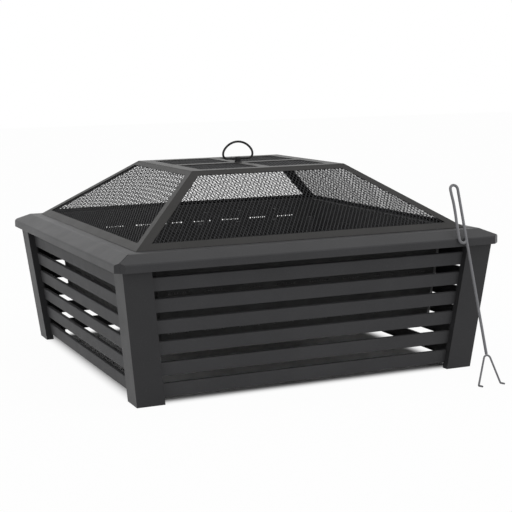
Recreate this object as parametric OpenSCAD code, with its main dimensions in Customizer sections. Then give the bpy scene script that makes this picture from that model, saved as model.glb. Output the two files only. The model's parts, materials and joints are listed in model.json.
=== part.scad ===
// Square steel fire pit with a slatted base, a perforated fire bowl, a log grate,
// a lift-off mesh spark screen with a ring handle, and a poker that leans on the rim.
// Origin: centre of the pit on the floor. +X to the right, +Y to the back, +Z up.

/* [Rim] */
// Outside width of the square rim
rim_w = 860; // [700:1:1100]
// Height of the flat top of the rim
rim_z = 307; // [260:1:420]
// Height of the upright skirt round the rim
skirt_h = 16; // [10:1:24]
// Rise of the sloped band above the skirt
rim_rise = 16; // [10:1:24]
// Width of the sloped band, seen from above
rim_slope_w = 35; // [24:1:50]
// Width of the flat strip inside the sloped band
rim_strip_w = 49; // [40:1:70]
// Cut across each outer corner of the rim
rim_chamfer = 17; // [8:1:24]
// Thickness of the rim sheet
rim_t = 2; // [1:0.1:3]

/* [Legs] */
// Distance from the rim's outer face to a leg's outer corner at the skirt
leg_inset = 16; // [8:1:30]
// How far a leg leans in from the skirt down to the floor
leg_lean = 31; // [10:1:60]
// Width of each leg flange
leg_w = 59; // [40:1:90]
// Depth of the folded-in edge of a leg flange
leg_return = 17; // [16:1:22]
// Thickness of the leg sheet
leg_t = 2; // [1:0.1:3]

/* [Slats] */
// Number of slats on each side
slat_count = 6; // [3:1:8]
// Height of a slat
slat_h = 28; // [15:1:40]
// Free gap between two slats
slat_gap = 15.6; // [8:1:30]
// Height of the lowest slat's bottom edge above the floor
slat_floor_gap = 10.5; // [5:1:30]
// Depth of a slat's face behind the leg's face
slat_inset = 14; // [8:0.5:14]
// Depth of the folded top and bottom edges of a slat
slat_fold = 8; // [5:0.5:12]
// Thickness of the slat sheet
slat_t = 1.5; // [1:0.1:2.5]

/* [Fire bowl] */
// Height of the underside of the bowl above the floor
bowl_floor_z = 90; // [60:1:150]
// How far each wall leans in from top to bottom
bowl_lean = 22; // [10:1:60]
// Width of the bowl's flange on the rim
bowl_flange_w = 20; // [12:1:26]
// Thickness of the bowl sheet
bowl_t = 2; // [1:0.1:3]
// Bevel along the bottom edges and up the corners of the bowl
bowl_bevel = 18; // [8:1:40]
// Length of a vent slot
vent_w = 46; // [20:1:60]
// Height of a vent slot
vent_h = 3; // [2:0.5:6]
// Vent slots in one row
vent_cols = 8; // [4:2:8]
// Rows of vent slots
vent_rows = 6; // [3:1:6]
// Distance between the middles of two vent slots in a row
vent_pitch = 78; // [62:1:78]
// Distance between two rows of vent slots
vent_row_pitch = 27.4; // [15:0.2:28]
// Distance from the rim's top down to the uppermost vent row
vent_drop = 40; // [30:1:60]

/* [Spark screen] */
// Gap from the rim's sloped band to the foot of the screen
lid_setback = 22; // [18:1:30]
// Height of the screen above the rim
lid_h = 134.5; // [90:0.5:200]
// Width of the flat top of the screen
lid_top_w = 360.8; // [250:0.2:450]
// Width of the frame band along the foot of a panel
lid_foot_band = 20; // [12:1:30]
// Width of the frame band along a hip edge
lid_hip_band = 17; // [12:1:26]
// Width of the frame band along the top of a panel
lid_head_band = 15; // [10:1:24]
// Width of the border round the flat top
lid_top_band = 30; // [20:1:45]
// Width of the two cross bars of the flat top
lid_cross_w = 26; // [20:1:40]
// Thickness of the screen's frame sheet
lid_t = 1.5; // [1:0.1:2.5]
// Thickness of the mesh sheets
mesh_t = 1; // [0.6:0.1:1.6]
// How far a mesh sheet runs behind its frame
mesh_lap = 8; // [5:1:10]

/* [Ring handle] */
// Diameter of the ring's wire
ring_d = 5; // [4:0.5:7]
// Width of the ring between the middles of its wire
ring_w = 73; // [60:1:100]
// Height from the ring's pivot to the middle of its top
ring_h = 38.5; // [34:0.5:60]
// Height of the pivot above the flat top
ring_pivot_h = 8.5; // [7:0.5:14]
// Radius of the lower corners
ring_corner_r = 10; // [6:1:12]
// Radius of the ring's shoulders
ring_shoulder_r = 20; // [14:1:22]
// Length of the saddle clip along the pivot
clip_l = 11; // [8:1:20]

/* [Log grate] */
// Number of bars
grate_bars = 4; // [3:1:6]
// Distance between two bars
grate_pitch = 90; // [60:1:100]
// Diameter of the bars, rails and legs
grate_d = 10; // [8:1:14]
// Distance between the upright ends of a bar
grate_depth = 200; // [150:5:300]
// Height of the bars' lying stretch above the bowl's floor
grate_h = 78; // [50:1:110]
// Height of the upright ends above the bowl's floor
grate_post_h = 225; // [120:5:235]
// Inside bend of the bars at the middle of the wire
grate_bend_r = 25; // [15:1:40]

/* [Poker] */
// Diameter of the rod
poker_d = 6; // [5:0.5:8]
// Length from the floor to the middle of the loop's top
poker_l = 427; // [400:1:500]
// Angle by which the poker leans back onto the rim
poker_lean = 20.7; // [15:0.1:30]
// Angle by which the rod leans to the right
poker_tilt = 1.2; // [0:0.1:5]
// Place of the rod along the front of the rim
poker_x = 338; // [250:1:370]
// Diameter of the fork's wire
fork_d = 4; // [3:0.5:5]
// Height of the fork
fork_h = 60; // [40:1:80]
// Distance between the fork's two knees
fork_w = 53; // [40:1:70]
// Distance from the middle of the knees to the foot of the rod
fork_skew = 6; // [0:0.5:10]
// Length of the fork's toes
toe_l = 14; // [8:1:20]
// Length of the hand loop
loop_l = 118; // [80:1:150]
// Width of the hand loop between the middles of its wire
loop_w = 18; // [15:1:30]

/* [Fasteners] */
// Thread diameter of the studs under the rim
stud_d = 6; // [5:1:8]
// Width of the nuts across the flats
nut_w = 10; // [8:1:13]
// Height of the nuts
nut_h = 5; // [4:0.5:7]

/* [Hidden] */
SIDES = ["front", "right", "back", "left"];
CORNERS = ["front_right", "back_right", "back_left", "front_left"];
// Gap between flat faces of pieces that lift off each other
lift_gap = 0.3;
// Gap round a pin that turns in its clip
turn_gap = 0.25;
// Gap between pieces that are welded or screwed together
fit_gap = 0.2;
far = 2 * rim_w;

rim_half = rim_w / 2;
strip_half = rim_half - rim_slope_w;
hole_half = strip_half - rim_strip_w;
skirt_top_z = rim_z - rim_rise;
skirt_z = skirt_top_z - skirt_h;

leg_top_half = rim_half - leg_inset;
leg_foot_half = leg_top_half - leg_lean;
lean = atan(leg_lean / skirt_z);
// Length up the slope from the floor to the skirt, and on to the leg's top under the rim
slope_l = skirt_z / cos(lean);
leg_l = (skirt_top_z - rim_t) / cos(lean);

slat_pitch = (slat_h + slat_gap) / cos(lean);

bowl_top_half = hole_half - 1;
bowl_inside_z = bowl_floor_z + bowl_t;
flange_z = rim_z + bowl_t;

lid_foot_half = strip_half - lid_setback;
lid_foot_z = rim_z + lift_gap;
lid_top_half = lid_top_w / 2;
lid_top_z = rim_z + lid_h;
lid_run = lid_foot_half - lid_top_half;
lid_slope = atan((lid_top_z - lid_foot_z) / lid_run);
lid_slope_l = lid_run / cos(lid_slope);
lid_under_z = lid_top_z - lid_t;

pivot_z = lid_top_z + ring_pivot_h;
ring_half = ring_w / 2;
// Radius of the ring's crown, which meets both shoulders without a corner
crown_r = (pow(ring_half - ring_shoulder_r, 2) + pow(ring_h - ring_corner_r, 2) - pow(ring_shoulder_r, 2))
    / (2 * (ring_h - ring_corner_r - ring_shoulder_r));
crown_z = ring_h - crown_r;
shoulder_angle = atan2(ring_corner_r - crown_z, ring_half - ring_shoulder_r);

grate_z = bowl_inside_z + grate_h;
grate_top_z = bowl_inside_z + grate_post_h;
grate_half = grate_depth / 2;
rail_y = grate_half - 40;
rail_z = grate_z - grate_d - 0.01;
rail_l = (grate_bars - 1) * grate_pitch + 40;
grate_leg_x = rail_l / 2 - 30;

// Where the rod's middle line passes the front edge of the skirt's top
poker_rest = poker_d / 2 + lift_gap;
poker_foot_z = fork_d / 2 + lift_gap;
poker_rise = skirt_top_z - poker_foot_z;
poker_foot_y = -(rim_half + poker_rest / cos(poker_lean) + poker_rise * tan(poker_lean));
poker_foot_x = poker_x - (poker_rise / cos(poker_lean) - fork_h) * tan(poker_tilt);
arch_r = 8;
loop_r = loop_w / 2;
loop_top = poker_l - loop_r;
hook_r = loop_r - 0.5;

bracket_z = skirt_top_z - 3;
bracket_t = 2;
bracket_out = leg_foot_half + leg_lean * bracket_z / skirt_z - leg_t / cos(lean) - fit_gap;
pad_out = strip_half - 3;
pad_in = hole_half + 2;
stud_at = (pad_out + pad_in) / 2;

// ---- Helpers ----

// Puts a flat shape on one leaning side of the base: X runs along it, Y up it, Z out of it
module on_side(i) {
    rotate([0, 0, 90 * i])
        translate([0, -leg_foot_half, 0])
            rotate([90 + lean, 0, 0])
                children();
}

// Everything between the floor and a given height
module slab(z0, z1) {
    translate([-far / 2, -far / 2, z0])
        cube([far, far, z1 - z0]);
}

// The quarter of the plan that belongs to one side, cut along the diagonals
module quarter(i, z0, z1) {
    rotate([0, 0, 90 * i])
        translate([0, 0, z0])
            linear_extrude(z1 - z0)
                polygon([[0, 0], [-far / 2, -far / 2], [far / 2, -far / 2]]);
}

// A square body whose four sides all have the same outline, given from the middle outwards
module four_sided(half_outline) {
    last = len(half_outline) - 1;
    mirrored = [for (k = [last : -1 : 0]) [-half_outline[k][0], half_outline[k][1]]];
    outline = concat(half_outline, mirrored);
    intersection() {
        rotate([90, 0, 0])
            linear_extrude(far, center = true)
                polygon(outline);
        rotate([90, 0, 90])
            linear_extrude(far, center = true)
                polygon(outline);
    }
}

// An upright square prism with its four corners cut off
module cut_square(half, cut, z0, z1) {
    a = half - cut;
    translate([0, 0, z0])
        linear_extrude(z1 - z0)
            polygon([
                [half, -a], [half, a], [a, half], [-a, half],
                [-half, a], [-half, -a], [-a, -half], [a, -half]
            ]);
}

// A round bar from one point to another
module bar(a, b, d) {
    v = b - a;
    l = norm(v);
    translate(a)
        rotate([0, acos(v[2] / l), atan2(v[1], v[0])])
            cylinder(d = d, h = l, $fn = 32);
}

// A round bar bent along an arc in the XZ plane
module bent_bar(centre, r, d, from, to) {
    translate(centre)
        rotate([90, 0, 0])
            rotate([0, 0, from])
                rotate_extrude(angle = to - from, $fn = 64)
                    translate([r, 0])
                        circle(d = d, $fn = 32);
}

// Points along an arc in the XZ plane
function arc(centre, r, from, to, steps) =
    [for (k = [0 : steps]) let (a = from + (to - from) * k / steps) centre + r * [cos(a), 0, sin(a)]];

// A bent wire along a path in the XZ plane
module wire(path, d) {
    sides = 12;
    last = len(path) - 1;
    function along(k) = path[min(k + 1, last)] - path[max(k - 1, 0)];
    rings = [
        for (k = [0 : last])
            let (across = cross(along(k), [0, 1, 0]) / norm(along(k)))
                for (j = [0 : sides - 1])
                    path[k] + d / 2 * (cos(360 * j / sides) * [0, 1, 0] + sin(360 * j / sides) * across)
    ];
    skin = [
        for (k = [0 : last - 1])
            for (j = [0 : sides - 1])
                let (a = k * sides + j, b = k * sides + (j + 1) % sides)
                    [a, a + sides, b + sides, b]
    ];
    ends = [[for (j = [0 : sides - 1]) j], [for (j = [sides - 1 : -1 : 0]) last * sides + j]];
    polyhedron(rings, concat(skin, ends), convexity = 6);
}

// ---- Base ----

// One folded corner leg, drawn at the front right
module leg(i) {
    color("dimgray")
        intersection() {
            rotate([0, 0, 90 * i])
                for (m = [0, 1])
                    rotate([0, 0, 90 * m])
                        leg_flange(m);
            slab(0, skirt_top_z - rim_t - fit_gap);
        }
}

// One flange with its folded-in edge: m = 0 is the right end of the front side
module leg_flange(m) {
    function outer(v) = leg_foot_half + leg_lean * v / slope_l;
    v0 = -5;
    v1 = leg_l + 5;
    mirror([m, 0, 0])
        on_side(0) {
            translate([0, 0, -leg_t])
                linear_extrude(leg_t)
                    polygon([
                        [outer(v0) - leg_w, v0], [outer(v0), v0],
                        [outer(v1), v1], [outer(v1) - leg_w, v1]
                    ]);
            translate([0, 0, -leg_return])
                linear_extrude(leg_return)
                    polygon([
                        [outer(v0) - leg_w, v0], [outer(v0) - leg_w + leg_t, v0],
                        [outer(v1) - leg_w + leg_t, v1], [outer(v1) - leg_w, v1]
                    ]);
        }
}

// One slat, a shallow channel between the folded-in edges of two legs
module slat(i, k) {
    v0 = slat_floor_gap / cos(lean) + (k - 1) * slat_pitch;
    v1 = v0 + slat_h / cos(lean);
    function end(v) = leg_foot_half + leg_lean * v / slope_l - leg_w;
    color("dimgray")
        on_side(i)
            difference() {
                translate([0, 0, -slat_inset - slat_fold])
                    linear_extrude(slat_fold)
                        polygon([[-end(v0), v0], [end(v0), v0], [end(v1), v1], [-end(v1), v1]]);
                translate([-rim_w / 2, v0 + slat_t, -slat_inset - slat_fold - 1])
                    cube([rim_w, v1 - v0 - 2 * slat_t, slat_fold - slat_t + 1]);
            }
}

// ---- Rim ----

module rim_shell() {
    difference() {
        intersection() {
            four_sided([[rim_half, skirt_z], [rim_half, skirt_top_z], [strip_half, rim_z]]);
            cut_square(rim_half, rim_chamfer, skirt_z, rim_z);
        }
        intersection() {
            four_sided([
                [rim_half - rim_t, skirt_z - 1], [rim_half - rim_t, skirt_top_z - rim_t / 2],
                [strip_half, rim_z - rim_t]
            ]);
            cut_square(rim_half - rim_t, rim_chamfer, skirt_z - 1, rim_z);
        }
        translate([-hole_half, -hole_half, skirt_z])
            cube([2 * hole_half, 2 * hole_half, far]);
    }
}

module rim(i) {
    color("#3a393c")
        intersection() {
            rim_shell();
            quarter(i, skirt_z - 1, rim_z + 1);
        }
}

// Cup-shaped bracket that carries the rim on a leg, drawn at the front right
module corner_bracket(i) {
    wing = 14;
    color("#2a2a2a")
        rotate([0, 0, 90 * i])
            mirror([0, 1, 0])
                difference() {
                    union() {
                        translate([pad_in, pad_in, bracket_z])
                            cube([pad_out - pad_in, pad_out - pad_in, rim_z - rim_t - bracket_z]);
                        for (m = [0, 1])
                            mirror([m, -m, 0])
                                translate([pad_out - wing, bracket_out - leg_w + 2 * leg_t + 2, bracket_z])
                                    cube([bracket_out - pad_out + wing, leg_w - 4 * leg_t - 4, bracket_t]);
                    }
                    translate([pad_in + bracket_t, pad_in + bracket_t, bracket_z - 1])
                        cube([
                            pad_out - pad_in - 2 * bracket_t, pad_out - pad_in - 2 * bracket_t,
                            rim_z - rim_t - bracket_t - bracket_z + 1
                        ]);
                    translate([stud_at, stud_at, bracket_z])
                        cylinder(d = stud_d + 2 * fit_gap, h = far, $fn = 32);
                }
}

module rim_studs() {
    color("silver")
        for (i = [0 : 3])
            rotate([0, 0, 90 * i])
                translate([stud_at, -stud_at, rim_z - rim_t - bracket_t - nut_h - 2])
                    cylinder(d = stud_d, h = nut_h + bracket_t + 2, $fn = 32);
}

module rim_nuts() {
    color("silver")
        for (i = [0 : 3])
            rotate([0, 0, 90 * i])
                translate([stud_at, -stud_at, rim_z - rim_t - bracket_t - nut_h])
                    difference() {
                        cylinder(d = nut_w / cos(30), h = nut_h, $fn = 6);
                        translate([0, 0, -1])
                            cylinder(d = stud_d + 2 * fit_gap, h = nut_h + 2, $fn = 32);
                    }
}

// ---- Fire bowl ----

// Outer form of the bowl, shrunk by a given wall
module bowl_form(wall, z0, z1) {
    slope = bowl_lean / (rim_z - bowl_floor_z);
    function half(z) = bowl_top_half - (rim_z - z) * slope - wall;
    intersection() {
        four_sided([
            [half(z0) - bowl_bevel, z0], [half(z0 + bowl_bevel), z0 + bowl_bevel], [half(z1), z1]
        ]);
        rotate([0, 0, 45])
            four_sided([for (z = [z0, z1]) [(half(z) - bowl_bevel / 2) * sqrt(2), z]]);
    }
}

module fire_bowl() {
    rows = [for (r = [0 : vent_rows - 1]) rim_z - vent_drop - r * vent_row_pitch];
    color("#1c1c1c")
        difference() {
            union() {
                bowl_form(0, bowl_floor_z, flange_z);
                translate([-hole_half - bowl_flange_w, -hole_half - bowl_flange_w, rim_z])
                    cube([2 * (hole_half + bowl_flange_w), 2 * (hole_half + bowl_flange_w), bowl_t]);
            }
            bowl_form(bowl_t, bowl_inside_z, flange_z + 1);
            for (z = rows)
                for (c = [0 : vent_cols - 1])
                    for (a = [0, 90])
                        rotate([0, 0, a])
                            translate([(c - (vent_cols - 1) / 2) * vent_pitch, -far / 4, z])
                                translate([-vent_w / 2, 0, -vent_h / 2])
                                    cube([vent_w, far / 2, vent_h]);
        }
}

// ---- Spark screen ----

// Puts a flat shape on one slope of the screen: X along it, Y up it, Z out of it
module on_slope(i) {
    rotate([0, 0, 90 * i])
        translate([0, -lid_foot_half, lid_foot_z])
            rotate([lid_slope, 0, 0])
                children();
}

// Half width of a slope at a distance up it
function slope_half(v) = lid_foot_half - v * cos(lid_slope);

// Outline of a panel drawn in by its frame bands, less a lap
module window(lap) {
    v0 = lid_foot_band - lap;
    v1 = lid_slope_l - lid_head_band + lap;
    hip = (lid_hip_band - lap) / sin(atan2(1, cos(lid_slope)));
    polygon([
        [-slope_half(v0) + hip, v0], [slope_half(v0) - hip, v0],
        [slope_half(v1) - hip, v1], [-slope_half(v1) + hip, v1]
    ]);
}

module screen_panel(i) {
    color("#4c4c4c")
        intersection() {
            on_slope(i)
                translate([0, 0, -lid_t])
                    linear_extrude(lid_t)
                        difference() {
                            translate([-far / 2, -lid_foot_band])
                                square([far, lid_slope_l + 2 * lid_foot_band]);
                            window(0);
                        }
            quarter(i, lid_foot_z, lid_under_z);
        }
}

module screen_mesh(i) {
    color("#2c2c2c")
        on_slope(i)
            translate([0, 0, -lid_t - mesh_t])
                linear_extrude(mesh_t)
                    window(mesh_lap);
}

module screen_top() {
    pane = lid_top_half - lid_top_band - lid_cross_w / 2;
    color("#8c8a88")
        difference() {
            four_sided([[lid_top_half + lid_t / tan(lid_slope), lid_under_z], [lid_top_half, lid_top_z]]);
            for (x = [-1, 1])
                for (y = [-1, 1])
                    translate([x * (lid_cross_w + pane) / 2, y * (lid_cross_w + pane) / 2, lid_top_z])
                        cube([pane, pane, 4 * lid_t], center = true);
        }
}

module screen_top_mesh() {
    half = lid_top_half - lid_top_band + mesh_lap;
    color("#2c2c2c")
        translate([-half, -half, lid_under_z - mesh_t])
            cube([2 * half, 2 * half, mesh_t]);
}

// Saddle clip that holds the ring's bar on the crossing of the top bars
module handle_clip() {
    bore_r = ring_d / 2 + turn_gap;
    shell = 1.5;
    foot_l = 22;
    color("#3c3c3c")
        difference() {
            union() {
                translate([-clip_l / 2, 0, pivot_z])
                    rotate([0, 90, 0])
                        cylinder(r = bore_r + shell, h = clip_l, $fn = 48);
                translate([-clip_l / 2, -bore_r - shell, lid_top_z])
                    cube([clip_l, 2 * (bore_r + shell), ring_pivot_h]);
                translate([-clip_l / 2, -foot_l / 2, lid_top_z])
                    cube([clip_l, foot_l, shell]);
            }
            translate([-clip_l, 0, pivot_z])
                rotate([0, 90, 0])
                    cylinder(r = bore_r, h = 2 * clip_l, $fn = 48);
            translate([-clip_l, -bore_r, lid_top_z - 1])
                cube([2 * clip_l, 2 * bore_r, ring_pivot_h - bore_r]);
        }
}

module ring_handle() {
    bar_half = ring_half - ring_corner_r;
    half_loop = concat(
        arc([bar_half, 0, ring_corner_r], ring_corner_r, -90, 0, 6),
        arc(
            [ring_half - ring_shoulder_r, 0, ring_corner_r], ring_shoulder_r,
            shoulder_angle / 5, shoulder_angle, 4
        ),
        arc([0, 0, crown_z], crown_r, shoulder_angle + 6, 90, 6)
    );
    last = len(half_loop) - 1;
    other_half = [for (k = [last - 1 : -1 : 0]) [-half_loop[k][0], 0, half_loop[k][2]]];
    loop = concat(half_loop, other_half);
    color("#1e1e1e")
        translate([0, 0, pivot_z]) {
            bar([-bar_half, 0, 0], [bar_half, 0, 0], ring_d);
            wire(loop, 0.99 * ring_d);
        }
}

// ---- Log grate ----

module grate_bar() {
    straight = grate_half - grate_bend_r;
    bar([0, -straight, grate_z], [0, straight, grate_z], grate_d);
    for (m = [0, 1])
        mirror([0, m, 0]) {
            rotate([0, 0, 90])
                bent_bar([straight, 0, grate_z + grate_bend_r], grate_bend_r, grate_d, -90, 0);
            bar([0, grate_half, grate_z + grate_bend_r], [0, grate_half, grate_top_z], grate_d);
        }
}

module grate_bars() {
    color("#202020")
        for (k = [0 : grate_bars - 1])
            translate([(k - (grate_bars - 1) / 2) * grate_pitch, 0, 0])
                grate_bar();
}

module grate_rails() {
    color("#202020")
        for (s = [-1, 1])
            bar([-rail_l / 2, s * rail_y, rail_z], [rail_l / 2, s * rail_y, rail_z], grate_d);
}

module grate_legs() {
    color("#202020")
        for (x = [-1, 1])
            for (y = [-1, 1])
                translate([x * grate_leg_x, y * rail_y, bowl_inside_z + lift_gap])
                    difference() {
                        cylinder(d = grate_d, h = rail_z - bowl_inside_z - lift_gap, $fn = 32);
                        translate([0, 0, rail_z - bowl_inside_z - lift_gap])
                            rotate([0, 90, 0])
                                cylinder(r = grate_d / 2 + fit_gap, h = 3 * grate_d, center = true, $fn = 48);
                    }
}

// ---- Poker ----

// Puts a shape in the poker's own frame: Z up the rod, X across the fork.
// Above the fork's crown the rod leans to the side by the tilt.
module on_poker(tilt) {
    translate([poker_foot_x, poker_foot_y, poker_foot_z])
        rotate([-poker_lean, 0, 0])
            translate([0, 0, fork_h])
                rotate([0, tilt, 0])
                    translate([0, 0, -fork_h])
                        children();
}

module poker_rod() {
    loop_foot = poker_l - loop_l;
    in_x = 2 - loop_w;
    out_x = -2 * hook_r;
    // The loop's free side draws in below the top, and runs out again to the hook
    function ease(a, b, t) = a + (b - a) * (1 - cos(180 * t)) / 2;
    draw_in = [for (k = [1 : 5]) [ease(-loop_w, in_x, k / 5), 0, loop_top - 0.3 * loop_l * k / 5]];
    run_out = [for (k = [0 : 5]) [ease(in_x, out_x, k / 5), 0, loop_foot + loop_l * (0.5 - 0.25 * k / 5)]];
    color("#6a6b70")
        on_poker(poker_tilt) {
            bar([0, 0, fork_h + fork_d / 2 + fit_gap], [0, 0, loop_top], poker_d);
            wire(
                concat(
                    arc([-loop_r, 0, loop_top], loop_r, 0, 180, 12), draw_in, run_out,
                    arc([-hook_r, 0, loop_foot], hook_r, 180, 340, 10)
                ),
                0.99 * poker_d
            );
        }
}

module poker_fork() {
    toe_rise = 6;
    toe_drop = poker_lean - toe_rise;
    arch_z = fork_h - arch_r;
    // A leg runs straight from its knee to the side of the round crown
    function knee(m) = fork_w / 2 + m * fork_skew;
    function side(m) = acos(arch_r / norm([knee(m), arch_z])) - atan2(arch_z, knee(m));
    color("#6a6b70")
        on_poker(0) {
            wire(
                concat(
                    [[knee(-1), 0, 0]], arc([0, 0, arch_z], arch_r, side(-1), 180 - side(1), 10),
                    [[-knee(1), 0, 0]]
                ),
                fork_d
            );
            for (m = [-1, 1])
                translate([-m * knee(m), 0, 0]) {
                    sphere(d = 1.06 * fork_d, $fn = 32);
                    bar([0, 0, 0], toe_l * [0, -cos(toe_drop), -sin(toe_drop)], fork_d);
                }
        }
}

// ---- Pieces ----

for (i = [0 : 3]) {
    leg(i);
    for (k = [1 : slat_count])
        slat(i, k);
    rim(i);
    corner_bracket(i);
    screen_panel(i);
    screen_mesh(i);
}
rim_studs();
rim_nuts();
fire_bowl();
screen_top();
screen_top_mesh();
handle_clip();
ring_handle();
grate_bars();
grate_rails();
grate_legs();
poker_rod();
poker_fork();
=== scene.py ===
"""Square steel fire pit: finishes, mesh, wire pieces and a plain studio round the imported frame."""

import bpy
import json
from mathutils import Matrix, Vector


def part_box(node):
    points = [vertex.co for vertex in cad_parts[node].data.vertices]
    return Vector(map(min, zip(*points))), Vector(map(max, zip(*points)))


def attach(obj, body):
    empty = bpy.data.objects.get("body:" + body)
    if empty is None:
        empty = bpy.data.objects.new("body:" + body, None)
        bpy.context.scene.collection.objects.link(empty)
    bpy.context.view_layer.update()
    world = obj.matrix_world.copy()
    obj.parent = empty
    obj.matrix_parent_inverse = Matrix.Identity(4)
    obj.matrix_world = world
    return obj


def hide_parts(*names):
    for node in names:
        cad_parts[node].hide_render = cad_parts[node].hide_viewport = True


bl_info = {
    "name": "Square Fire Pit",
    "version": (1, 0, 0),
    "blender": (4, 5, 0),
    "location": "3D View > Sidebar > Fire Pit",
    "description": "Builds the visible pieces of a square fire pit with a spark screen",
    "category": "Object",
}

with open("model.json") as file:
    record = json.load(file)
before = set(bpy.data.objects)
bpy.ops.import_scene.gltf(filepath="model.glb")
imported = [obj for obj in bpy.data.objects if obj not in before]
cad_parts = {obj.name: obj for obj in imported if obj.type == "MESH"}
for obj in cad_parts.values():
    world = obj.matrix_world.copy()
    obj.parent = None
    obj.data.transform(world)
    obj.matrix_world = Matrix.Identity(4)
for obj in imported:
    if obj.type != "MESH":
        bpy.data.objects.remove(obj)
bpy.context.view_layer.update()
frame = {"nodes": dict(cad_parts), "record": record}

import json
import math

import bmesh
import bpy
from bpy.props import FloatProperty, FloatVectorProperty, IntProperty
from mathutils import Matrix, Vector

SIDES = ("front", "right", "back", "left")
CORNERS = ("front_right", "back_right", "back_left", "front_left")
SLATS_PER_SIDE = sum(name.startswith("slat_front_") for name in frame["nodes"])


def box(node):
    """A node's lowest and highest corner as vectors."""
    low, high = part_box(node)
    return Vector(low), Vector(high)


RIM_LOW, RIM_HIGH = box("rim_front")
RIM_HALF = -RIM_LOW.y
RIM_TOP = RIM_HIGH.z
PLATE_LOW, PLATE_HIGH = box("screen_top")
SCREEN_FOOT_HALF = -box("screen_panel_front")[0].y
SCREEN_FOOT_Z = box("screen_panel_front")[0].z


# ---- Settings ----

class PaintSettings(bpy.types.PropertyGroup):
    """Colours of the painted steel"""

    body_colour: FloatVectorProperty(
        name="Body", description="Powder coat of the legs, slats and rim",
        subtype="COLOR", size=3, min=0, max=1, default=(0.046, 0.046, 0.048))
    screen_colour: FloatVectorProperty(
        name="Screen", description="Paint of the spark screen's frame",
        subtype="COLOR", size=3, min=0, max=1, default=(0.039, 0.038, 0.037))
    mesh_colour: FloatVectorProperty(
        name="Mesh", description="Paint of the expanded metal mesh",
        subtype="COLOR", size=3, min=0, max=1, default=(0.030, 0.030, 0.032))
    bowl_colour: FloatVectorProperty(
        name="Bowl", description="Heat-resistant paint of the fire bowl and the grate",
        subtype="COLOR", size=3, min=0, max=1, default=(0.016, 0.016, 0.016))
    poker_colour: FloatVectorProperty(
        name="Poker", description="Paint of the poker",
        subtype="COLOR", size=3, min=0, max=1, default=(0.19, 0.19, 0.2))
    zinc_colour: FloatVectorProperty(
        name="Zinc", description="Plating of the studs and nuts",
        subtype="COLOR", size=3, min=0, max=1, default=(0.55, 0.55, 0.56))
    roughness: FloatProperty(
        name="Roughness", description="Roughness of the powder coat",
        subtype="FACTOR", min=0, max=1, default=0.42)


class SheetSettings(bpy.types.PropertyGroup):
    """Sizes of the sheet metal pieces"""

    cut_round: FloatProperty(
        name="Cut edge", description="Width of the broken edge along a cut",
        unit="LENGTH", min=0.0001, max=0.0006, default=0.0003)
    fold_round: FloatProperty(
        name="Fold", description="Width of the rounding along a fold",
        unit="LENGTH", min=0.0001, max=0.003, default=0.0018)
    rim_round: FloatProperty(
        name="Rim fold", description="Width of the rounding along the rim's folds",
        unit="LENGTH", min=0.0001, max=0.004, default=0.0026)
    vent_pitch: FloatProperty(
        name="Vent group pitch", description="Distance between two groups of vent holes",
        unit="LENGTH", min=0.05, max=0.1, default=0.078)
    vent_groups: IntProperty(
        name="Vent groups", description="Groups of vent holes in a row", min=2, max=8, default=8)
    vent_rows: IntProperty(
        name="Vent rows", description="Rows of vent holes in each wall", min=1, max=6, default=6)
    vent_row_pitch: FloatProperty(
        name="Vent row pitch", description="Distance between two rows of vent holes",
        unit="LENGTH", min=0.015, max=0.03, default=0.0274)
    vent_drop: FloatProperty(
        name="Vent drop", description="Distance from the rim's top to the first row",
        unit="LENGTH", min=0.03, max=0.06, default=0.040)
    vent_width: FloatProperty(
        name="Vent group width", description="Width of a group of holes",
        unit="LENGTH", min=0.02, max=0.06, default=0.046)
    vent_height: FloatProperty(
        name="Vent height", description="Height of a hole",
        unit="LENGTH", min=0.002, max=0.006, default=0.003)
    vent_holes: IntProperty(
        name="Holes in a group", description="Round holes in a group", min=4, max=10, default=8)
    bowl_half: FloatProperty(
        name="Bowl half width", description="Half the width of the bowl at the rim",
        unit="LENGTH", min=0.2, max=0.5, default=0.345)
    bowl_lean: FloatProperty(
        name="Bowl lean", description="How far a wall leans in over its height",
        unit="LENGTH", min=0.0, max=0.06, default=0.022)
    bowl_sheet: FloatProperty(
        name="Bowl sheet", description="Thickness of the bowl's sheet",
        unit="LENGTH", min=0.001, max=0.003, default=0.002)


class MeshSettings(bpy.types.PropertyGroup):
    """Sizes of the spark screen's mesh"""

    across: FloatProperty(
        name="Diamond width", description="Distance between two diamonds along a row",
        unit="LENGTH", min=0.004, max=0.02, default=0.0089)
    up: FloatProperty(
        name="Diamond height", description="Distance between two diamonds up the panel",
        unit="LENGTH", min=0.004, max=0.02, default=0.0142)
    strand: FloatProperty(
        name="Strand width", description="Width of a strand",
        unit="LENGTH", min=0.0005, max=0.003, default=0.0011)
    thickness: FloatProperty(
        name="Strand thickness", description="Thickness of a strand",
        unit="LENGTH", min=0.0004, max=0.001, default=0.00095)
    frame_sheet: FloatProperty(
        name="Frame sheet", description="Thickness of the screen's frame",
        unit="LENGTH", min=0.001, max=0.003, default=0.0015)
    foot_margin: FloatProperty(
        name="Foot margin", description="Distance from a panel's foot to its mesh",
        unit="LENGTH", min=0.002, max=0.03, default=0.012)
    hip_margin: FloatProperty(
        name="Hip margin", description="Distance from a panel's hip to its mesh",
        unit="LENGTH", min=0.002, max=0.03, default=0.009)
    head_margin: FloatProperty(
        name="Head margin", description="Distance from a panel's head to its mesh",
        unit="LENGTH", min=0.002, max=0.03, default=0.007)


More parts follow.
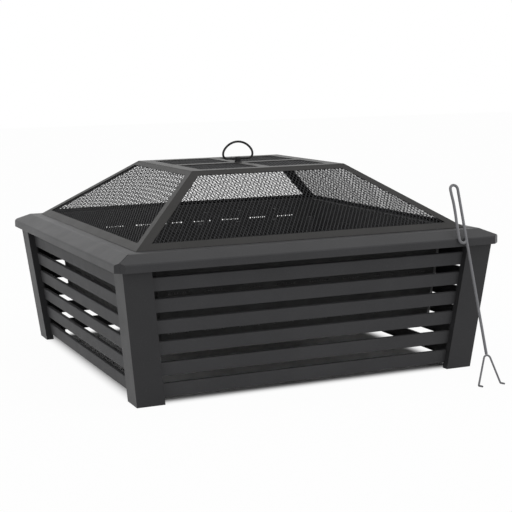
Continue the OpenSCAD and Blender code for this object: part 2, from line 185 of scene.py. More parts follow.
class WireSettings(bpy.types.PropertyGroup):
    """Sizes of the ring handle and the poker"""

    ring_corner: FloatProperty(
        name="Ring corner", description="Radius of the ring's lower corners",
        unit="LENGTH", min=0.006, max=0.012, default=0.010)
    ring_shoulder: FloatProperty(
        name="Ring shoulder", description="Radius of the ring's shoulders",
        unit="LENGTH", min=0.014, max=0.022, default=0.020)
    ring_wire: FloatProperty(
        name="Ring wire", description="Diameter of the ring's wire",
        unit="LENGTH", min=0.003, max=0.008, default=0.005)
    poker_rod: FloatProperty(
        name="Poker rod", description="Diameter of the poker's rod",
        unit="LENGTH", min=0.004, max=0.01, default=0.006)
    poker_length: FloatProperty(
        name="Poker length", description="Length from the floor to the middle of the loop's top",
        unit="LENGTH", min=0.3, max=0.6, default=0.427)
    poker_lean: FloatProperty(
        name="Poker lean", description="Angle by which the poker leans back",
        unit="ROTATION", min=0, max=1, default=math.radians(20.7))
    poker_tilt: FloatProperty(
        name="Poker tilt", description="Angle by which the rod leans to the right",
        unit="ROTATION", min=0, max=1, default=math.radians(1.2))
    poker_place: FloatProperty(
        name="Poker place", description="Distance of the rod from the middle of the rim",
        unit="LENGTH", min=0, max=0.4, default=0.338)
    poker_gap: FloatProperty(
        name="Poker gap", description="Gap to the rim and the floor",
        unit="LENGTH", min=0, max=0.001, default=0.0003)
    fork_wire: FloatProperty(
        name="Fork wire", description="Diameter of the fork's wire",
        unit="LENGTH", min=0.003, max=0.006, default=0.004)
    fork_height: FloatProperty(
        name="Fork height", description="Height of the fork's crown",
        unit="LENGTH", min=0.03, max=0.09, default=0.060)
    fork_width: FloatProperty(
        name="Fork width", description="Distance between the knees",
        unit="LENGTH", min=0.03, max=0.08, default=0.053)
    fork_skew: FloatProperty(
        name="Fork skew", description="Distance from the middle of the knees to the rod",
        unit="LENGTH", min=0, max=0.01, default=0.006)
    toe_length: FloatProperty(
        name="Toe length", description="Length of the fork's toes",
        unit="LENGTH", min=0.005, max=0.03, default=0.014)
    loop_length: FloatProperty(
        name="Loop length", description="Length of the hand loop",
        unit="LENGTH", min=0.08, max=0.2, default=0.118)
    loop_width: FloatProperty(
        name="Loop width", description="Width of the hand loop",
        unit="LENGTH", min=0.01, max=0.04, default=0.018)


class StageSettings(bpy.types.PropertyGroup):
    """Camera and lights"""

    camera_place: FloatVectorProperty(
        name="Camera place", description="Where the camera stands",
        subtype="TRANSLATION", size=3, default=(-1.1157, -2.6711, 0.6551))
    camera_turn: FloatProperty(
        name="Camera turn", description="Turn from +Y towards +X", unit="ROTATION", default=0.4088)
    camera_drop: FloatProperty(
        name="Camera drop", description="Angle below the horizon", unit="ROTATION", default=0.1484)
    camera_roll: FloatProperty(
        name="Camera roll", description="Turn about the view", unit="ROTATION", default=-0.0157)
    camera_lens: FloatProperty(
        name="Camera lens", description="Focal length in millimetres on a 36 mm sensor", default=88.49)
    floor_shadow: FloatProperty(
        name="Floor shadow", description="How much of the floor's own light and shade is seen round the pit",
        subtype="FACTOR", min=0, max=1, default=0.03)
    world_level: FloatProperty(
        name="World level", description="Strength of the world's even light", min=0, max=1, default=0.6)


SETTINGS = {
    "pit_paint": PaintSettings, "pit_sheet": SheetSettings, "pit_mesh": MeshSettings,
    "pit_wire": WireSettings, "pit_stage": StageSettings,
}


# ---- Materials ----

class Finish:
    """Builds one node material step by step."""

    def __init__(self, name):
        self.material = bpy.data.materials.new(name)
        self.material.use_nodes = True
        self.tree = self.material.node_tree
        self.shader = self.tree.nodes["Principled BSDF"]
        self.coords = self.node("ShaderNodeTexCoord").outputs["Object"]

    def node(self, kind, **values):
        made = self.tree.nodes.new(kind)
        for key, value in values.items():
            setattr(made, key, value)
        return made

    def link(self, source, target):
        self.tree.links.new(source, target)

    def noise(self, scale, detail=3.0, roughness=0.5, stretch=None):
        made = self.node("ShaderNodeTexNoise")
        made.inputs["Scale"].default_value = scale
        made.inputs["Detail"].default_value = detail
        made.inputs["Roughness"].default_value = roughness
        source = self.coords
        if stretch:
            mapping = self.node("ShaderNodeMapping")
            mapping.inputs["Scale"].default_value = stretch
            self.link(self.coords, mapping.inputs["Vector"])
            source = mapping.outputs["Vector"]
        self.link(source, made.inputs["Vector"])
        return made.outputs["Fac"]

    def spread(self, value, low, high, from_low=0.3, from_high=0.7):
        made = self.node("ShaderNodeMapRange")
        made.inputs["From Min"].default_value = from_low
        made.inputs["From Max"].default_value = from_high
        made.inputs["To Min"].default_value = low
        made.inputs["To Max"].default_value = high
        self.link(value, made.inputs["Value"])
        return made.outputs["Result"]

    def mix(self, factor, first, second):
        made = self.node("ShaderNodeMix", data_type="RGBA")
        self.link(factor, made.inputs["Factor"])
        for socket, colour in ((made.inputs["A"], first), (made.inputs["B"], second)):
            if isinstance(colour, bpy.types.NodeSocket):
                self.link(colour, socket)
            else:
                socket.default_value = (*colour, 1)
        return made.outputs["Result"]

    def bump(self, height, strength, distance, under=None):
        made = self.node("ShaderNodeBump")
        made.inputs["Strength"].default_value = strength
        made.inputs["Distance"].default_value = distance
        self.link(height, made.inputs["Height"])
        if under:
            self.link(under, made.inputs["Normal"])
        return made.outputs["Normal"]


def lighter(colour, factor):
    """A colour made lighter or darker."""
    return tuple(min(1.0, part * factor) for part in colour)


COAT_SPECULAR = 0.12


def powder_coat(name, colour, roughness, grain=700, patch=6, dust=0.25):
    """Satin powder coat: fine orange peel, cloudy gloss and a trace of pale dust."""
    finish = Finish(name)
    clouds = finish.noise(patch, 4, 0.6)
    specks = finish.noise(grain * 0.6, 2, 0.7)
    tone = finish.mix(finish.spread(clouds, 0, 1), lighter(colour, 0.93), lighter(colour, 1.07))
    dusty = finish.spread(specks, 0, dust, 0.58, 0.8)
    tone = finish.mix(dusty, tone, lighter(colour, 2.4))
    finish.link(tone, finish.shader.inputs["Base Color"])
    gloss = finish.spread(finish.noise(patch * 3, 5, 0.65), roughness - 0.03, roughness + 0.03)
    finish.link(gloss, finish.shader.inputs["Roughness"])
    peel = finish.bump(finish.noise(grain, 2, 0.5), 0.12, 0.0004)
    finish.link(peel, finish.shader.inputs["Normal"])
    finish.shader.inputs["Specular IOR Level"].default_value = COAT_SPECULAR
    return finish.material


def sooty_paint(name, colour, roughness):
    """Matt heat-resistant paint with soot clouds and a rough skin."""
    finish = Finish(name)
    soot = finish.noise(14, 6, 0.7)
    tone = finish.mix(finish.spread(soot, 0, 1), lighter(colour, 0.6), lighter(colour, 1.7))
    finish.link(tone, finish.shader.inputs["Base Color"])
    gloss = finish.spread(finish.noise(40, 4, 0.6), roughness - 0.08, roughness + 0.1)
    finish.link(gloss, finish.shader.inputs["Roughness"])
    skin = finish.bump(finish.noise(260, 4, 0.6), 0.25, 0.0006)
    finish.link(skin, finish.shader.inputs["Normal"])
    return finish.material


def zinc_plate(name, colour):
    """Bright zinc plating with a cloudy sheen."""
    finish = Finish(name)
    clouds = finish.noise(180, 3, 0.6)
    tone = finish.mix(clouds, lighter(colour, 0.8), lighter(colour, 1.2))
    finish.link(tone, finish.shader.inputs["Base Color"])
    finish.shader.inputs["Metallic"].default_value = 1.0
    finish.link(finish.spread(clouds, 0.28, 0.42), finish.shader.inputs["Roughness"])
    finish.link(finish.bump(finish.noise(900, 2), 0.1, 0.0002), finish.shader.inputs["Normal"])
    return finish.material


def finishes():
    """The object's materials by slot name, made once."""
    if not MATERIALS:
        paint = bpy.context.scene.pit_paint
        body, screen = tuple(paint.body_colour), tuple(paint.screen_colour)
        bowl = tuple(paint.bowl_colour)
        rough = paint.roughness
        MATERIALS.update(
            leg_black=powder_coat("Leg powder coat", lighter(body, 0.84), rough),
            slat_black=powder_coat("Slat powder coat", lighter(body, 1.12), rough + 0.12, patch=9),
            rim_black=powder_coat("Rim powder coat", body, rough - 0.04, patch=5),
            bracket_black=powder_coat("Bracket paint", lighter(body, 0.7), rough + 0.1),
            zinc=zinc_plate("Zinc plate", tuple(paint.zinc_colour)),
            bowl_black=sooty_paint("Bowl heat paint", bowl, 0.62),
            screen_black=powder_coat("Screen heat paint", screen, rough, patch=8),
            mesh_black=powder_coat("Mesh paint", tuple(paint.mesh_colour), rough + 0.04, grain=400, patch=12),
            handle_black=powder_coat("Handle gloss paint", lighter(body, 0.6), 0.28, grain=300, patch=40),
            grate_black=sooty_paint("Grate heat paint", lighter(bowl, 1.3), 0.55),
            poker_black=powder_coat("Poker paint", tuple(paint.poker_colour), 0.3, grain=300, patch=30),
        )
    return MATERIALS


MATERIALS = {}
SLOT_OF = {row["node"]: row["material_slot"] for row in frame["record"]["subparts"]}
BODY_OF = {node: body for body, nodes in frame["record"]["behaviour"]["bodies"].items() for node in nodes}


# ---- Building helpers ----

def finish_piece(name, bm, nodes=(), body=None, slot=None, smooth=False):
    """Turns a bmesh into a piece that rides on its body and wears its slot's material."""
    mesh = bpy.data.meshes.new(name)
    bm.to_mesh(mesh)
    bm.free()
    for face in mesh.polygons:
        face.use_smooth = smooth
    if smooth:
        mesh.set_sharp_from_angle(angle=math.radians(50))
    piece = bpy.data.objects.new(name, mesh)
    bpy.context.scene.collection.objects.link(piece)
    slot = slot or SLOT_OF[nodes[0]]
    mesh.materials.append(finishes()[slot])
    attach(piece, body or BODY_OF[nodes[0]])
    if nodes:
        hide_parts(*nodes)
    return piece


def keep_node(node, smooth=False):
    """Gives a CAD node that stays its material."""
    target = frame["nodes"][node]
    target.data.materials.clear()
    target.data.materials.append(finishes()[SLOT_OF[node]])
    for face in target.data.polygons:
        face.use_smooth = smooth


def soften(node, fold, cut):
    """Replaces a sheet metal node by a copy with rounded folds and slightly broken cut edges."""
    bm = bmesh.new()
    bm.from_mesh(frame["nodes"][node].data)
    bmesh.ops.remove_doubles(bm, verts=bm.verts, dist=1e-6)
    bmesh.ops.dissolve_limit(bm, angle_limit=math.radians(0.5), verts=bm.verts, edges=bm.edges)

    def sharp(least):
        return [e for e in bm.edges if len(e.link_faces) == 2 and e.calc_face_angle() > math.radians(least)]

    def narrowest(edge):
        return min(face.calc_area() for face in edge.link_faces) / edge.calc_length()

    folds = [e for e in sharp(15) if e.calc_length() > 0.02 and narrowest(e) > 0.004]
    for edges, width, segments in ((folds, fold, 3), (None, cut, 1)):
        edges = sharp(35) if edges is None else edges
        bmesh.ops.bevel(
            bm, geom=edges, offset=width, offset_type="OFFSET", affect="EDGES",
            segments=segments, profile=0.5, material=-1, clamp_overlap=True)
    return finish_piece(node + "_rounded", bm, [node])


def arc(centre, radius, start, end, steps):
    """Points on an arc in the XZ plane, by angles in degrees."""
    angles = [math.radians(start + (end - start) * k / steps) for k in range(steps + 1)]
    return [Vector(centre) + radius * Vector((math.cos(a), 0, math.sin(a))) for a in angles]


def add_wire(bm, path, diameter, sides=16, closed=False):
    """Sweeps a round wire along a path by extruding a circle from point to point."""
    count = len(path)
    place = []
    side = None
    for k, point in enumerate(path):
        after = path[(k + 1) % count] if closed or k + 1 < count else point
        before = path[k - 1] if closed or k else point
        along = (after - before).normalized()
        if side is None:
            side = along.orthogonal().normalized()
        side = (side - along * side.dot(along)).normalized()
        up = along.cross(side)
        place.append(Matrix.Translation(point) @ Matrix((side, up, along)).transposed().to_4x4())
    ring = bmesh.ops.create_circle(
        bm, cap_ends=False, radius=diameter / 2, segments=sides, matrix=place[0])["verts"]
    first = list({e for v in ring for e in v.link_edges})
    edges = first
    for k in range(1, count):
        made = bmesh.ops.extrude_edge_only(bm, edges=edges)["geom"]
        verts = [g for g in made if isinstance(g, bmesh.types.BMVert)]
        edges = [g for g in made if isinstance(g, bmesh.types.BMEdge)]
        bmesh.ops.transform(bm, matrix=place[k] @ place[k - 1].inverted(), verts=verts)
    if closed:
        bmesh.ops.bridge_loops(bm, edges=first + edges)
    else:
        bmesh.ops.edgeloop_fill(bm, edges=first)
        bmesh.ops.edgeloop_fill(bm, edges=edges)


def add_diamonds(bm, outline, plane, settings, lying=False):
    """Expanded metal: a diamond lattice cut to an outline, as thin strands in a given plane."""
    across, up = (settings.up, settings.across) if lying else (settings.across, settings.up)
    low = Vector((min(p[0] for p in outline), min(p[1] for p in outline), 0))
    high = Vector((max(p[0] for p in outline), max(p[1] for p in outline), 0))
    middle = (low + high) / 2
    reach = (high.x - low.x) / across + (high.y - low.y) / up + 2
    cells = int(math.ceil(reach / 2)) * 2
    lattice = bmesh.new()
    # Unit squares turned by 45 degrees and stretched make the diamonds
    bmesh.ops.create_grid(lattice, x_segments=cells, y_segments=cells, size=cells / 2)
    turn = Matrix.Rotation(math.pi / 4, 4, "Z")
    stretch = Matrix.Diagonal((across / math.sqrt(2), up / math.sqrt(2), 1, 1))
    bmesh.ops.transform(lattice, matrix=Matrix.Translation(middle) @ stretch @ turn, verts=lattice.verts)
    for k, corner in enumerate(outline):
        edge = Vector(outline[(k + 1) % len(outline)]) - Vector(corner)
        bmesh.ops.bisect_plane(
            lattice, geom=lattice.verts[:] + lattice.edges[:] + lattice.faces[:], dist=1e-7,
            plane_co=(corner[0], corner[1], 0), plane_no=(edge.y, -edge.x, 0), clear_outer=True)
    small = (settings.strand * 1.2) ** 2
    holes = [f for f in lattice.faces if f.calc_area() > small]
    bmesh.ops.inset_individual(
        lattice, faces=holes, thickness=settings.strand / 2, depth=-settings.thickness * 0.25,
        use_even_offset=True)
    bmesh.ops.delete(lattice, geom=holes, context="FACES")
    bmesh.ops.recalc_face_normals(lattice, faces=lattice.faces)
    bmesh.ops.solidify(lattice, geom=lattice.faces[:], thickness=settings.thickness * 0.7)
    bmesh.ops.recalc_face_normals(lattice, faces=lattice.faces)
    bmesh.ops.transform(lattice, matrix=plane, verts=lattice.verts)
    sheet = bpy.data.meshes.new("lattice")
    lattice.to_mesh(sheet)
    lattice.free()
    bm.from_mesh(sheet)
    bpy.data.meshes.remove(sheet)


def side_turn(index):
    """Turn that carries the front side to another side."""
    return Matrix.Rotation(index * math.pi / 2, 4, "Z")


# ---- Operators ----

class PIT_OT_legs(bpy.types.Operator):
    """Round the corner legs and give their brackets their material"""

    bl_idname = "pit.legs"
    bl_label = "Legs"

    def execute(self, context):
        sheet = context.scene.pit_sheet
        for corner in CORNERS:
            soften("leg_" + corner, sheet.fold_round, sheet.cut_round)
            keep_node("corner_bracket_" + corner)
        return {"FINISHED"}


class PIT_OT_slats(bpy.types.Operator):
    """Round the slats' folded edges"""

    bl_idname = "pit.slats"
    bl_label = "Slats"

    def execute(self, context):
        sheet = context.scene.pit_sheet
        for side in SIDES:
            for number in range(1, SLATS_PER_SIDE + 1):
                soften(f"slat_{side}_{number}", sheet.fold_round, sheet.cut_round)
        return {"FINISHED"}


class PIT_OT_rim(bpy.types.Operator):
    """Round the folds of the rim and finish its studs and nuts"""

    bl_idname = "pit.rim"
    bl_label = "Rim"

    def execute(self, context):
        sheet = context.scene.pit_sheet
        for side in SIDES:
            soften("rim_" + side, sheet.rim_round, sheet.cut_round)
        keep_node("rim_studs")
        keep_node("rim_nuts")
        return {"FINISHED"}


class PIT_OT_bowl(bpy.types.Operator):
    """Finish the bowl and part its vents into rows of small holes"""

    bl_idname = "pit.bowl"
    bl_label = "Fire bowl"

    def execute(self, context):
        keep_node("fire_bowl")
        sheet = context.scene.pit_sheet
        bowl_low = box("fire_bowl")[0].z
        slope = sheet.bowl_lean / (RIM_TOP - bowl_low)
        hole_pitch = sheet.vent_width / sheet.vent_holes
        bm = bmesh.new()
        for row in range(sheet.vent_rows):
            z = RIM_TOP - sheet.vent_drop - row * sheet.vent_row_pitch
            y = sheet.bowl_sheet / 2 - (sheet.bowl_half - (RIM_TOP - z) * slope)
            for group in range(sheet.vent_groups):
                middle = (group - (sheet.vent_groups - 1) / 2) * sheet.vent_pitch
                for web in range(1, sheet.vent_holes):
                    x = middle - sheet.vent_width / 2 + web * hole_pitch
                    self.add_web(bm, Vector((x, y, z)), hole_pitch, sheet)
        front = bm.verts[:] + bm.edges[:] + bm.faces[:]
        for side in (1, 2, 3):
            copy = bmesh.ops.duplicate(bm, geom=front)["geom"]
            verts = [g for g in copy if isinstance(g, bmesh.types.BMVert)]
            bmesh.ops.transform(bm, matrix=side_turn(side), verts=verts)
        finish_piece("bowl_vent_webs", bm, body="pit", slot="bowl_black")
        return {"FINISHED"}

    @staticmethod
    def add_web(bm, place, pitch, sheet):
        """One waisted web between two round holes."""
        size = Matrix.Diagonal((pitch * 0.8, sheet.bowl_sheet * 0.8, sheet.vent_height, 1))
        verts = bmesh.ops.create_cube(bm, size=1, matrix=Matrix.Translation(place) @ size)["verts"]
        upright = [e for e in {e for v in verts for e in v.link_edges}
                   if abs(e.verts[0].co.z - e.verts[1].co.z) > sheet.vent_height / 2]
        made = bmesh.ops.subdivide_edges(bm, edges=upright, cuts=1)["geom_inner"]
        waist = [g for g in made if isinstance(g, bmesh.types.BMVert)]
        bmesh.ops.scale(bm, vec=(0.42, 1, 1), space=Matrix.Translation(-place), verts=waist)


class PIT_OT_screen_frame(bpy.types.Operator):
    """Round the edges of the spark screen's frame"""

    bl_idname = "pit.screen_frame"
    bl_label = "Screen frame"

    def execute(self, context):
        sheet = context.scene.pit_sheet
        for node in ["screen_panel_" + side for side in SIDES] + ["screen_top"]:
            soften(node, sheet.cut_round, sheet.cut_round)
        return {"FINISHED"}


class PIT_OT_screen_mesh(bpy.types.Operator):
    """Make the expanded metal mesh of the four panels and the flat top"""

    bl_idname = "pit.screen_mesh"
    bl_label = "Screen mesh"

    def execute(self, context):
        settings = context.scene.pit_mesh
        rise = PLATE_LOW.z - SCREEN_FOOT_Z
        run = SCREEN_FOOT_HALF - PLATE_HIGH.x
        angle = math.atan2(rise, run)
        length = math.hypot(rise, run)
        depth = settings.frame_sheet + settings.thickness * 0.7
        plane = (Matrix.Translation((0, -SCREEN_FOOT_HALF, SCREEN_FOOT_Z))
                 @ Matrix.Rotation(angle, 4, "X") @ Matrix.Translation((0, 0, -depth)))
        hip = settings.hip_margin / math.sin(math.atan2(1, math.cos(angle)))
        ends = [(settings.foot_margin, 1), (length - settings.head_margin, 1)]
        halves = [SCREEN_FOOT_HALF - v * math.cos(angle) - hip for v, _ in ends]
        outline = [(-halves[0], ends[0][0]), (halves[0], ends[0][0]),
                   (halves[1], ends[1][0]), (-halves[1], ends[1][0])]
        for index, side in enumerate(SIDES):
            bm = bmesh.new()
            add_diamonds(bm, outline, side_turn(index) @ plane, settings, lying=index % 2 == 1)
            finish_piece(f"screen_mesh_{side}_strands", bm, ["screen_mesh_" + side])
        half = box("screen_top_mesh")[1].x
        top = Matrix.Translation((0, 0, PLATE_LOW.z - settings.thickness * 0.7))
        bm = bmesh.new()
        add_diamonds(bm, [(-half, -half), (half, -half), (half, half), (-half, half)], top, settings)
        finish_piece("screen_top_mesh_strands", bm, ["screen_top_mesh"])
        return {"FINISHED"}


class PIT_OT_handle(bpy.types.Operator):
    """Make the ring handle and finish its saddle clip"""

    bl_idname = "pit.handle"
    bl_label = "Ring handle"

    def execute(self, context):
        wire = context.scene.pit_wire
        low, high = box("ring_handle")
        radius = wire.ring_wire / 2
        pivot = low.z + radius
        half = high.x - radius
        height = high.z - radius - pivot
        corner, shoulder = wire.ring_corner, wire.ring_shoulder
        # The crown's radius meets both shoulders without a corner
        over = height - corner
        crown = ((half - shoulder) ** 2 + over ** 2 - shoulder ** 2) / (2 * (over - shoulder))
        crown_z = height - crown
        angle = math.degrees(math.atan2(corner - crown_z, half - shoulder))
        right = (arc((half - corner, 0, corner), corner, -90, 0, 8)
                 + arc((half - shoulder, 0, corner), shoulder, 0, angle, 8)[1:]
                 + arc((0, 0, crown_z), crown, angle, 90, 12)[1:])
        left = [Vector((-p.x, 0, p.z)) for p in reversed(right[:-1])]
        path = [p + Vector((0, 0, pivot)) for p in right + left]
        bm = bmesh.new()
        add_wire(bm, path, wire.ring_wire, closed=True)
        bmesh.ops.recalc_face_normals(bm, faces=bm.faces)
        finish_piece("ring_handle_wire", bm, ["ring_handle"], smooth=True)
        cut = context.scene.pit_sheet.cut_round
        soften("handle_clip", cut, cut)
        return {"FINISHED"}


class PIT_OT_grate(bpy.types.Operator):
    """Finish the log grate"""

    bl_idname = "pit.grate"
    bl_label = "Log grate"

    def execute(self, context):
        for node in ("grate_bars", "grate_rails", "grate_legs"):
            keep_node(node, smooth=False)
        return {"FINISHED"}


class PIT_OT_poker(bpy.types.Operator):
    """Make the poker's rod, hand loop and fork"""

    bl_idname = "pit.poker"
    bl_label = "Poker"

    def execute(self, context):
        wire = context.scene.pit_wire
        bm = bmesh.new()
        add_wire(bm, self.rod_path(wire), wire.poker_rod)
        self.close(bm, self.stand(wire, wire.poker_tilt))
        finish_piece("poker_rod_wire", bm, ["poker_rod"], smooth=True)
        bm = bmesh.new()
        add_wire(bm, self.fork_path(wire), wire.fork_wire)
        self.close(bm, self.stand(wire, 0))
        finish_piece("poker_fork_wire", bm, ["poker_fork"], smooth=True)
        return {"FINISHED"}

    @staticmethod
    def close(bm, place):
        bmesh.ops.recalc_face_normals(bm, faces=bm.faces)
        bmesh.ops.transform(bm, matrix=place, verts=bm.verts)

    @staticmethod
    def stand(wire, tilt):
        """Place of the poker's own frame: Z up the rod, X across the fork."""
        skirt_top = RIM_LOW.z + (RIM_HIGH.z - RIM_LOW.z) / 2
        foot_z = wire.fork_wire / 2 + wire.poker_gap
        rise = skirt_top - foot_z
        rest = wire.poker_rod / 2 + wire.poker_gap
        y = -(RIM_HALF + rest / math.cos(wire.poker_lean) + rise * math.tan(wire.poker_lean))
        above_fork = rise / math.cos(wire.poker_lean) - wire.fork_height
        x = wire.poker_place - above_fork * math.tan(wire.poker_tilt)
        crown = Matrix.Translation((0, 0, wire.fork_height))
        return (Matrix.Translation((x, y, foot_z)) @ Matrix.Rotation(-wire.poker_lean, 4, "X")
                @ crown @ Matrix.Rotation(tilt, 4, "Y") @ crown.inverted())

    @staticmethod
    def rod_path(wire):
        """The rod, the loop over its top, the drawn-in free side and the hook back to the rod."""
        radius = wire.loop_width / 2
        top = wire.poker_length - radius
        foot = wire.poker_length - wire.loop_length
        hook = radius - 0.0005
        drawn, out = 0.002 - wire.loop_width, -2 * hook
        start = wire.fork_height + wire.fork_wire / 2 + 0.0002

        def ease(a, b, t):
            return a + (b - a) * (1 - math.cos(math.pi * t)) / 2

        path = [Vector((0, 0, start + (top - start) * k / 24)) for k in range(24)]
        path += arc((-radius, 0, top), radius, 0, 180, 16)
        path += [Vector((ease(-wire.loop_width, drawn, k / 8), 0, top - 0.3 * wire.loop_length * k / 8))
                 for k in range(1, 9)]
        path += [Vector((ease(drawn, out, k / 8), 0, foot + wire.loop_length * (0.5 - 0.25 * k / 8)))
                 for k in range(9)]
        path += arc((-hook, 0, foot), hook, 180, 338, 14)
        return path

    @staticmethod
    def fork_path(wire):
        """Toe, knee, leg, round crown, leg, knee and toe in one wire."""
        crown = 0.008
        crown_z = wire.fork_height - crown
        knees = [wire.fork_width / 2 + s * wire.fork_skew for s in (-1, 1)]
        sides = [
            math.degrees(math.acos(crown / math.hypot(k, crown_z)) - math.atan2(crown_z, k))
            for k in knees
        ]
        down = wire.poker_lean - math.radians(6)
        toe = Vector((0, -math.cos(down), -math.sin(down)))
        right, left = Vector((knees[0], 0, 0)), Vector((-knees[1], 0, 0))
        bend = 0.003
        path = [right + toe * wire.toe_length, right + toe * bend, right + toe * bend * 0.3]
        over = arc((0, 0, crown_z), crown, sides[0], 180 - sides[1], 16)
        path += [right + (over[0] - right).normalized() * bend * s for s in (0.3, 1)]
        path += over
        path += [left + (over[-1] - left).normalized() * bend * s for s in (1, 0.3)]
        path += [left + toe * bend * 0.3, left + toe * bend, left + toe * wire.toe_length]
        return path


# Name, place, size, power, and whether it is seen in reflections.
LAMPS = (
    ("Overhead", (-0.4, 0.3, 3.2), 3.2, 12, False),
    ("Left", (-3.4, 0.9, 1.9), 2.2, 4, False),
    ("Front", (1.6, -4.2, 1.2), 2.4, 22, False),
    ("Strip", (1.1, -1.3, 2.7), 1.3, 13, True),
)
LAMP_TARGET = Vector((0, 0, 0.2))
FLOOR_HALF = 12
FLOOR_COLOUR = (0.8, 0.8, 0.8)
# From the middle out, where the floor's natural shade fades to white.
SHADE_EDGE = (0.34, 0.39)


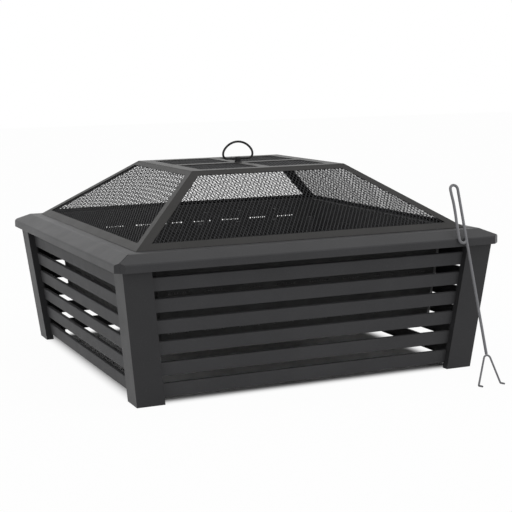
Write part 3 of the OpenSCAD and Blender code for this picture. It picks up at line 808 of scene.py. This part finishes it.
class PIT_OT_stage(bpy.types.Operator):
    """Set up the camera, the floor, the lamps and the world"""

    bl_idname = "pit.stage"
    bl_label = "Stage"

    def execute(self, context):
        scene = context.scene
        self.camera(scene)
        self.floor(scene)
        for lamp in LAMPS:
            self.lamp(scene, *lamp)
        self.world(scene)
        scene.view_settings.view_transform = "Standard"
        return {"FINISHED"}

    @staticmethod
    def camera(scene):
        stage = scene.pit_stage
        data = bpy.data.cameras.new("Camera")
        data.lens = stage.camera_lens
        data.sensor_width = 36
        data.clip_start = 0.05
        made = bpy.data.objects.new("Camera", data)
        scene.collection.objects.link(made)
        turn = (Matrix.Rotation(-stage.camera_turn, 4, "Z")
                @ Matrix.Rotation(math.pi / 2 - stage.camera_drop, 4, "X")
                @ Matrix.Rotation(stage.camera_roll, 4, "Z"))
        made.matrix_world = Matrix.Translation(stage.camera_place) @ turn
        scene.camera = made

    @staticmethod
    def lamp(scene, name, place, size, power, mirrored):
        """A square soft lamp that looks at the pit, hidden from reflections unless mirrored."""
        data = bpy.data.lights.new(name, "AREA")
        data.size = size
        data.energy = power
        made = bpy.data.objects.new(name, data)
        scene.collection.objects.link(made)
        look = (LAMP_TARGET - Vector(place)).to_track_quat("-Z", "Y")
        made.matrix_world = Matrix.Translation(place) @ look.to_matrix().to_4x4()
        made.visible_glossy = mirrored

    @staticmethod
    def math(tree, operation, *values):
        """A math node on numbers and sockets."""
        made = tree.nodes.new("ShaderNodeMath")
        made.operation = operation
        for socket, value in zip(made.inputs, values):
            if isinstance(value, bpy.types.NodeSocket):
                tree.links.new(value, socket)
            else:
                socket.default_value = value
        return made.outputs[0]

    @staticmethod
    def ramp(tree, value, from_low, from_high, low, high):
        """A smooth step from one number to another."""
        made = tree.nodes.new("ShaderNodeMapRange")
        made.interpolation_type = "SMOOTHSTEP"
        ends = (("From Min", from_low), ("From Max", from_high), ("To Min", low), ("To Max", high))
        for name, number in ends:
            made.inputs[name].default_value = number
        tree.links.new(value, made.inputs["Value"])
        return made.outputs["Result"]

    def seen(self, tree):
        """One for rays that come straight, by reflection or through something clear."""
        rays = tree.nodes.new("ShaderNodeLightPath").outputs
        direct = self.math(tree, "MAXIMUM", rays["Is Camera Ray"], rays["Is Transmission Ray"])
        return self.math(tree, "MAXIMUM", direct, rays["Is Glossy Ray"])

    def floor(self, scene):
        """A wide pale floor, white where it is seen and in natural shade under the pit."""
        bm = bmesh.new()
        bmesh.ops.create_grid(bm, x_segments=4, y_segments=4, size=FLOOR_HALF)
        mesh = bpy.data.meshes.new("Floor")
        bm.to_mesh(mesh)
        bm.free()
        made = bpy.data.objects.new("Floor", mesh)
        scene.collection.objects.link(made)
        material = bpy.data.materials.new("Pale floor")
        material.use_nodes = True
        tree = material.node_tree
        tree.nodes.clear()
        out = tree.nodes.new("ShaderNodeOutputMaterial")
        shade = tree.nodes.new("ShaderNodeBsdfDiffuse")
        glow = tree.nodes.new("ShaderNodeEmission")
        glow.inputs["Color"].default_value = (1, 1, 1, 1)
        blend = tree.nodes.new("ShaderNodeMixShader")
        place = tree.nodes.new("ShaderNodeSeparateXYZ")
        tree.links.new(tree.nodes.new("ShaderNodeTexCoord").outputs["Object"], place.inputs[0])
        across = [self.math(tree, "ABSOLUTE", place.outputs[axis]) for axis in (0, 1)]
        away = self.math(tree, "MAXIMUM", *across)
        white = self.ramp(tree, away, *SHADE_EDGE, 0, 1 - scene.pit_stage.floor_shadow)
        shade.inputs["Color"].default_value = (*FLOOR_COLOUR, 1)
        tree.links.new(self.math(tree, "MULTIPLY", self.seen(tree), white), blend.inputs["Fac"])
        tree.links.new(shade.outputs[0], blend.inputs[1])
        tree.links.new(glow.outputs[0], blend.inputs[2])
        tree.links.new(blend.outputs[0], out.inputs["Surface"])
        mesh.materials.append(material)

    def world(self, scene):
        """White where it is seen, straight or in a reflection, and an even light elsewhere."""
        world = bpy.data.worlds.new("Studio")
        scene.world = world
        world.use_nodes = True
        tree = world.node_tree
        tree.nodes.clear()
        out = tree.nodes.new("ShaderNodeOutputWorld")
        back = tree.nodes.new("ShaderNodeBackground")
        back.inputs["Color"].default_value = (1, 1, 1, 1)
        path = tree.nodes.new("ShaderNodeLightPath")
        even = self.math(tree, "MULTIPLY", path.outputs["Is Diffuse Ray"], scene.pit_stage.world_level)
        tree.links.new(self.math(tree, "MAXIMUM", self.seen(tree), even), back.inputs["Strength"])
        tree.links.new(back.outputs[0], out.inputs["Surface"])


PIECES = (
    PIT_OT_legs, PIT_OT_slats, PIT_OT_rim, PIT_OT_bowl, PIT_OT_screen_frame, PIT_OT_screen_mesh,
    PIT_OT_handle, PIT_OT_grate, PIT_OT_poker, PIT_OT_stage,
)


class PIT_PT_panel(bpy.types.Panel):
    """Lists the steps and the main settings"""

    bl_label = "Fire Pit"
    bl_idname = "PIT_PT_panel"
    bl_space_type = "VIEW_3D"
    bl_region_type = "UI"
    bl_category = "Fire Pit"

    def draw(self, context):
        for operator in PIECES:
            self.layout.operator(operator.bl_idname)
        for group in SETTINGS:
            settings = getattr(context.scene, group)
            column = self.layout.column()
            for name in settings.bl_rna.properties.keys():
                if name not in {"rna_type", "name"}:
                    column.prop(settings, name)


def register():
    for group, kind in SETTINGS.items():
        bpy.utils.register_class(kind)
        setattr(bpy.types.Scene, group, bpy.props.PointerProperty(type=kind))
    for kind in (*PIECES, PIT_PT_panel):
        bpy.utils.register_class(kind)


def unregister():
    for kind in reversed((*PIECES, PIT_PT_panel)):
        bpy.utils.unregister_class(kind)
    for group, kind in reversed(SETTINGS.items()):
        delattr(bpy.types.Scene, group)
        bpy.utils.unregister_class(kind)


def main():
    register()
    for operator in PIECES:
        group, step = operator.bl_idname.split(".")
        getattr(getattr(bpy.ops, group), step)()


if __name__ == "__main__":
    main()
